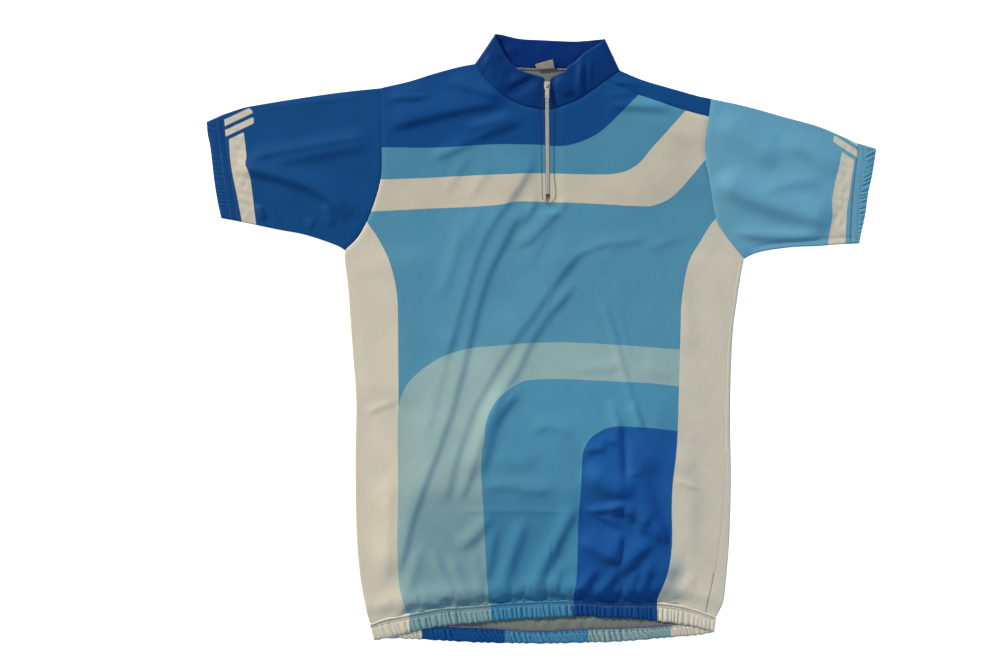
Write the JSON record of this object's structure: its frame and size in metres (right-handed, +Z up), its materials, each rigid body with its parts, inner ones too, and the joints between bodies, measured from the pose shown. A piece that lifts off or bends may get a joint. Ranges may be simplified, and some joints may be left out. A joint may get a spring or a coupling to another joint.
{
  "type": "cycling jersey",
  "caption": "Short-sleeved cycling jersey with a stand collar, half zip and elastic casings at cuffs and hem, laid flat with its front up.",
  "frame": {"origin": "middle of the overall box, on the floor under it", "axes": "+X to the wearer's left sleeve, +Y to the collar, +Z up off the floor, through the back and out of the front"},
  "size_m": [0.8166, 0.7448, 0.0101],
  "materials": {
    "printed_knit": "matt knit with a slight sheen, printed in blocks of royal, mid blue, aqua and off-white",
    "royal_knit": "matt knit with a slight sheen",
    "light_blue_knit": "matt knit with a slight sheen",
    "zip_tape": "woven tape",
    "zip_coil": "moulded coil",
    "zip_metal": "worn cast metal",
    "label_cloth": "plain woven tape"
  },
  "bodies": {
    "jersey": {"back": "printed_knit", "front": "printed_knit", "hem_front": "printed_knit", "hem_back": "printed_knit", "sleeve_right": "royal_knit", "sleeve_left": "light_blue_knit", "cuff_right": "royal_knit", "cuff_left": "light_blue_knit", "collar": "royal_knit", "zip_tape": "zip_tape", "zip_coil": "zip_coil", "zip_slider": "zip_metal", "zip_stop": "zip_metal", "neck_label": "label_cloth"},
    "pull_tab": {"zip_pull": "zip_metal"}
  },
  "joints": [
    {"name": "pull_swing", "type": "hinge", "parent": "jersey", "child": "pull_tab", "pos_m": [0.00692, 0.30816, 0.00831], "axis": [-1, 0, 0], "range_deg": [0, 160]}
  ]
}
